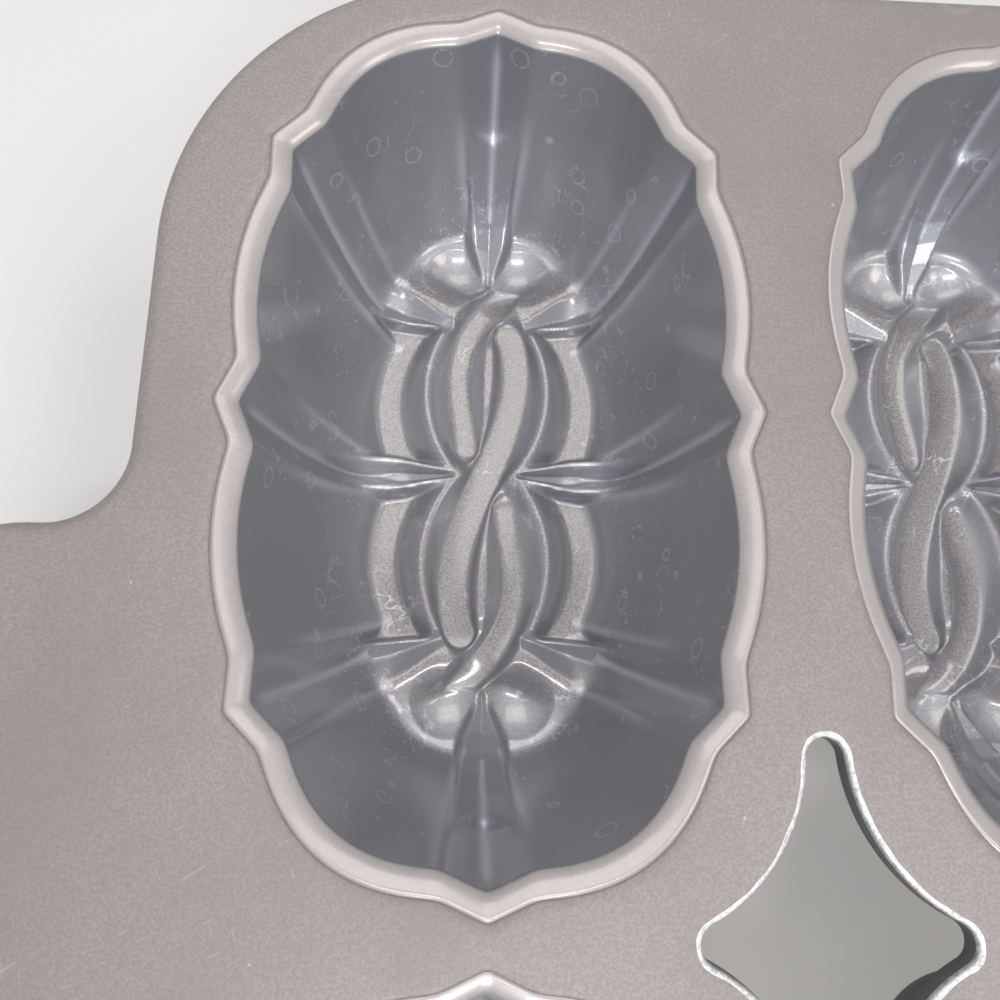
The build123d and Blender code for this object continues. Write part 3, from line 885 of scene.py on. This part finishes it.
class TraySizes(bpy.types.PropertyGroup):
    """Sizes of the tray that the frame's boxes don't give."""

    corner_x: FloatProperty(
        name="Corner rib X", description="Centre of a cup to a corner rib, across", default=0.029, **LENGTH)
    corner_y: FloatProperty(
        name="Corner rib Y", description="Centre of a cup to a corner rib, along", default=0.0382, **LENGTH)
    wall: FloatProperty(name="Wall", description="Metal thickness of a cup", default=0.003, **LENGTH)
    lip_width: FloatProperty(
        name="Lip width", description="Width of the sloping band round a cup's mouth", default=0.003, **LENGTH)
    lip_drop: FloatProperty(name="Lip drop", description="Fall from the deck to the mouth", default=0.0019, **LENGTH)
    lip_step: FloatProperty(
        name="Lip step", description="How far the deck stands proud of the lip", default=0.00035, **LENGTH)
    deck_thickness: FloatProperty(
        name="Deck thickness", description="Thickness of the flat plate", default=0.003, **LENGTH)
    deck_corner: FloatProperty(
        name="Deck corner", description="Radius of the deck's corners", default=0.045, **LENGTH)
    grip_reach: FloatProperty(name="Grip reach", description="How far a grip stands out", default=0.025, **LENGTH)
    grip_length: FloatProperty(
        name="Grip length", description="Length of a grip along the deck's end", default=0.096, **LENGTH)
    star_width: FloatProperty(
        name="Star half width", description="Centre of a star cut-out to its tip, across", default=0.0162, **LENGTH)
    star_length: FloatProperty(
        name="Star half length", description="Centre of a star cut-out to its tip, along", default=0.023, **LENGTH)
    star_tip: FloatProperty(name="Star tip", description="Radius of a star's round tips", default=0.0024, **LENGTH)
    star_hollow: FloatProperty(
        name="Star hollow", description="How far a star's side curves in", default=0.0009, **LENGTH)


class TrayColours(bpy.types.PropertyGroup):
    """Colours of the tray's finishes and of the studio."""

    cup: FloatVectorProperty(
        name="Cup coating", description="Coating inside the cups", default=(0.305, 0.305, 0.325), **COLOUR)
    deck: FloatVectorProperty(
        name="Deck coating", description="Coating on the deck and lips", default=(0.340, 0.306, 0.292), **COLOUR)
    bare: FloatVectorProperty(
        name="Cut metal", description="Bare metal at the star cut-outs", default=(0.93, 0.92, 0.90), **COLOUR)
    underside: FloatVectorProperty(
        name="Underside", description="Coating on the outside", default=(0.24, 0.235, 0.23), **COLOUR)
    floor: FloatVectorProperty(
        name="Floor", description="The studio's pale floor", default=(0.92, 0.91, 0.90), **COLOUR)


class TRAY_OT_cups(bpy.types.Operator):
    """Builds the eight fluted cups with their lips"""

    bl_idname = "tray.cups"
    bl_label = "Build cups"

    def execute(self, context):
        mm = in_millimetres(context.scene.tray_sizes)
        colours = context.scene.tray_colours
        materials = [cup_coating(colours), lip_coating(colours), underside_coating(colours)]
        rings = cup_rings(mm)
        count = rings.shape[1]
        faces = ring_faces(len(rings), count)
        slots = np.searchsorted([MOUTH_RING, MOUTH_RING + LIP_RINGS], faces[:, 0] // count, side="right")
        marks = painted_light_marks(mm, rings)
        for node, (x, y) in cup_places().items():
            points = (rings + (x, y, 0)).reshape(-1, 3)
            piece = make_object(node.replace("cup_", "fluted_cup_"), points, faces.tolist(), slots, materials, marks)
            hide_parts(node)
            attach(piece, "root")
        return {"FINISHED"}


# Bright edge of the star cut-outs: its least and greatest width, and the seed and smoothing passes of its raggedness
CHIP_LEAST, CHIP_MOST, CHIP_SEED, CHIP_PASSES = 0.42, 0.95, 11, 5
# How far the flat top and the flat underside of the deck stop short of a star's edge
TOP_MARGIN, BASE_MARGIN = 2.0, 0.5
# Material slots of the deck
COATED, CUT, BENEATH = range(3)


class TRAY_OT_deck(bpy.types.Operator):
    """Builds the deck with its grips, cup openings and star cut-outs"""

    bl_idname = "tray.deck"
    bl_label = "Build deck"

    def execute(self, context):
        mm = in_millimetres(context.scene.tray_sizes)
        colours = context.scene.tray_colours
        materials = [deck_coating(colours), cut_metal(colours), underside_coating(colours)]
        top, bottom = mm.deck_top, mm.deck_top - mm.deck_thickness
        points, faces, slots = [], [], []

        def add(outlines, heights, slot, centre=(0.0, 0.0)):
            rings = np.array([at_height(*pair) for pair in zip(outlines, heights)]) + (*centre, 0.0)
            made = ring_faces(len(rings), rings.shape[1], sum(len(p) for p in points))
            points.append(rings.reshape(-1, 3))
            faces.extend(made.tolist())
            slots.append(np.full(len(made), slot))

        # Outer edge, as insets and heights: rounded over and down the side, then under the bead to the underside
        edge = [(2.6, top), (2.0, top), (1.45, top - 0.06), (0.95, top - 0.24), (0.5, top - 0.58), (0.18, top - 1.05),
                (0.0, top - 1.7), (0.0, top - 4.1), (0.25, top - 4.65)]
        bead = [edge[-1], (0.8, top - 5.0), (3.0, top - 5.0), (3.6, top - 4.7), (4.0, top - 4.0),
                (4.3, bottom + 0.1), (4.9, bottom), (5.4, bottom)]
        for profile, slot in ((edge, COATED), (bead, BENEATH)):
            add([deck_outline(mm, inset) for inset, _ in profile], [height for _, height in profile], slot)

        # Cup openings, as growths and heights: a soft edge that falls to the lip, the side and the underside
        opening = [(4.6, top), (4.1, top - 0.02), (3.7, top - 0.07), (3.35, top - 0.17), (3.12, top - 0.27),
                   (3.0, top - 0.38), (3.0, bottom), (3.6, bottom)]
        loops = [cup_outline(mm, grow, 0.0) for grow, _ in opening]
        places = cup_places()
        for place in places.values():
            add(loops, [height for _, height in opening], COATED, place)

        # Star cut-outs: coated edge, ragged bright chamfer, then the dark side
        columns = sorted({round(float(x), 3) for x, _ in places.values()})
        star_places = [((a + b) / 2, 0.0) for a, b in zip(columns, columns[1:])]
        inner, outer = star_outline(mm, -CHIP_LEAST), star_outline(mm, -CHIP_MOST)
        plain = star_outline(mm, 0.0)
        random = np.random.default_rng(CHIP_SEED)
        for place in star_places:
            chipped = blurred(random.uniform(0, 1, (len(inner), 1)), CHIP_PASSES)
            ragged = outer + (inner - outer) * chipped
            coated = [star_outline(mm, -TOP_MARGIN), star_outline(mm, -1.5), ragged]
            cut = [ragged, star_outline(mm, -0.28), star_outline(mm, -0.08), plain]
            add(coated, [top, top, top - 0.03], COATED, place)
            add(cut, [top - 0.03, top - 0.10, top - 0.28, top - 0.75], CUT, place)
            add([plain, plain, star_outline(mm, -BASE_MARGIN)], [top - 0.75, bottom, bottom], BENEATH, place)

        # Flat top and underside, which reach to the first and last rows of these profiles
        for height, inset, grow, margin, slot in ((top, edge[0][0], opening[0][0], TOP_MARGIN, COATED),
                                                  (bottom, bead[-1][0], opening[-1][0], BASE_MARGIN, BENEATH)):
            holes = [cup_outline(mm, grow, 0.0) + place for place in places.values()]
            holes += [star_outline(mm, -margin) + place for place in star_places]
            plan, triangles = flat_sheet(deck_outline(mm, inset), holes)
            faces.extend((triangles + sum(len(p) for p in points)).tolist())
            points.append(at_height(plan, height))
            slots.append(np.full(len(triangles), slot))

        piece = make_object("deck_plate", np.vstack(points), faces, np.concatenate(slots), materials)
        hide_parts("deck")
        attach(piece, "root")
        return {"FINISHED"}


# Camera: its place from the middle of the pictured cup's mouth, its turns about X, Y and Z in radians, and its lens,
# sensor and nearest distance
CAMERA_PLACE = (-0.00376, -0.03636, 0.10077)
CAMERA_TURNS = (-0.23212848, -0.04573850, 0.02112708)
CAMERA_LENS, CAMERA_SENSOR, CAMERA_NEAR = 28.8, 36.0, 0.005
# Lamps: place, target, width, height, power in watts and colour
LAMPS = {
    "overhead": ((-0.12, 0.52, 1.10), (-0.08, 0.03, 0.0), 0.80, 0.60, 3.2, (1.0, 0.96, 0.93)),
    "front": ((-0.08, -0.36, 1.10), (-0.10, 0.03, 0.0), 0.45, 0.12, 2.9, (1.0, 0.98, 0.97)),
    "window": ((-0.05, -0.95, 0.75), (-0.10, 0.05, 0.0), 0.42, 0.20, 4.2, (0.94, 0.97, 1.0)),
    "side": ((0.62, -0.25, 0.90), (-0.05, 0.0, 0.0), 0.40, 0.40, 2.4, (1.0, 0.96, 0.93)),
}
# World: its colour, and its strength on the rays that only bring light
WORLD_COLOUR, WORLD_STRENGTH = (0.91, 0.94, 1.0, 1.0), 0.32
# Backdrop colour that the camera and reflections see in the floor, and the share of it there
BACKDROP, BACKDROP_SHARE = (0.94, 0.91, 0.88, 1.0), 0.34
# Half the floor's side, and how far the floor lies under the tray
FLOOR_HALF, FLOOR_GAP = 1.6, 0.0002


class TRAY_OT_studio(bpy.types.Operator):
    """Adds the camera, the soft lamps, the pale world and the floor"""

    bl_idname = "tray.studio"
    bl_label = "Build studio"

    def execute(self, context):
        scene = context.scene
        low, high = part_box("cup_back_1")
        centre = (low + high) / 2
        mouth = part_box("deck")[1].z - scene.tray_sizes.lip_drop

        # The turns are an image's, with Y down and Z ahead, and flip changes them to a camera's
        turn_x, turn_y, turn_z = CAMERA_TURNS
        view = Matrix.Rotation(turn_z, 3, "Z") @ Matrix.Rotation(turn_y, 3, "Y") @ Matrix.Rotation(turn_x, 3, "X")
        flip = Matrix.Diagonal((1, -1, -1))
        turned = (flip @ view.transposed() @ flip).to_4x4()
        camera = bpy.data.cameras.new("camera")
        camera.sensor_width, camera.lens, camera.clip_start = CAMERA_SENSOR, CAMERA_LENS, CAMERA_NEAR
        eye = bpy.data.objects.new("camera", camera)
        eye.matrix_world = Matrix.Translation(Vector((centre.x, centre.y, mouth)) + Vector(CAMERA_PLACE)) @ turned
        scene.collection.objects.link(eye)
        scene.camera = eye

        for name, (place, target, width, height, power, colour) in LAMPS.items():
            light = bpy.data.lights.new(name, "AREA")
            light.shape = "RECTANGLE"
            light.size, light.size_y, light.energy, light.color = width, height, power, colour
            held = bpy.data.objects.new(name, light)
            held.location = place
            held.rotation_euler = (Vector(target) - Vector(place)).to_track_quat("-Z", "Y").to_euler()
            scene.collection.objects.link(held)

        world = Shader("studio", "worlds")
        strength = WORLD_STRENGTH + (1.0 - WORLD_STRENGTH) * world.seen()
        sky = world.node("ShaderNodeBackground", None, {"Color": WORLD_COLOUR, "Strength": strength})[0]
        world.node("ShaderNodeOutputWorld", None, {"Surface": sky})
        scene.world = world.owner
        scene.view_settings.view_transform = "Standard"

        floor = scene.tray_colours.floor
        shader = Shader("studio_floor")
        paper = shader.noise(shader.place(), 8.0, 2.0)
        colour = shader.mix(paper, tinted(floor, 1.0), tinted(floor, 0.97))
        mesh = bpy.data.meshes.new("studio_floor")
        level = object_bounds()[0].z - FLOOR_GAP
        corners = [(x * FLOOR_HALF, y * FLOOR_HALF, level) for x, y in ((-1, -1), (1, -1), (1, 1), (-1, 1))]
        mesh.from_pydata(corners, [], [(0, 1, 2, 3)])
        mesh.materials.append(shader.finish({"Base Color": colour, "Roughness": 0.8}, BACKDROP))
        ground = bpy.data.objects.new("studio_floor", mesh)
        scene.collection.objects.link(ground)
        ground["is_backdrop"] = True
        return {"FINISHED"}


class TRAY_PT_panel(bpy.types.Panel):
    """Lists the steps and the values of the tray"""

    bl_label = "Cake tray"
    bl_idname = "TRAY_PT_panel"
    bl_space_type = "VIEW_3D"
    bl_region_type = "UI"
    bl_category = "Cake tray"

    def draw(self, context):
        for step in (TRAY_OT_cups, TRAY_OT_deck, TRAY_OT_studio):
            self.layout.operator(step.bl_idname)
        for group in (context.scene.tray_sizes, context.scene.tray_colours):
            for name in group.__annotations__:
                self.layout.prop(group, name)


CLASSES = (TraySizes, TrayColours, TRAY_OT_cups, TRAY_OT_deck, TRAY_OT_studio, TRAY_PT_panel)


def register():
    for made in CLASSES:
        bpy.utils.register_class(made)
    bpy.types.Scene.tray_sizes = PointerProperty(type=TraySizes)
    bpy.types.Scene.tray_colours = PointerProperty(type=TrayColours)


def unregister():
    del bpy.types.Scene.tray_colours
    del bpy.types.Scene.tray_sizes
    for made in reversed(CLASSES):
        bpy.utils.unregister_class(made)


def main():
    """Builds the tray and its studio."""
    register()
    bpy.ops.tray.deck()
    bpy.ops.tray.cups()
    bpy.ops.tray.studio()


if __name__ == "__main__":
    main()
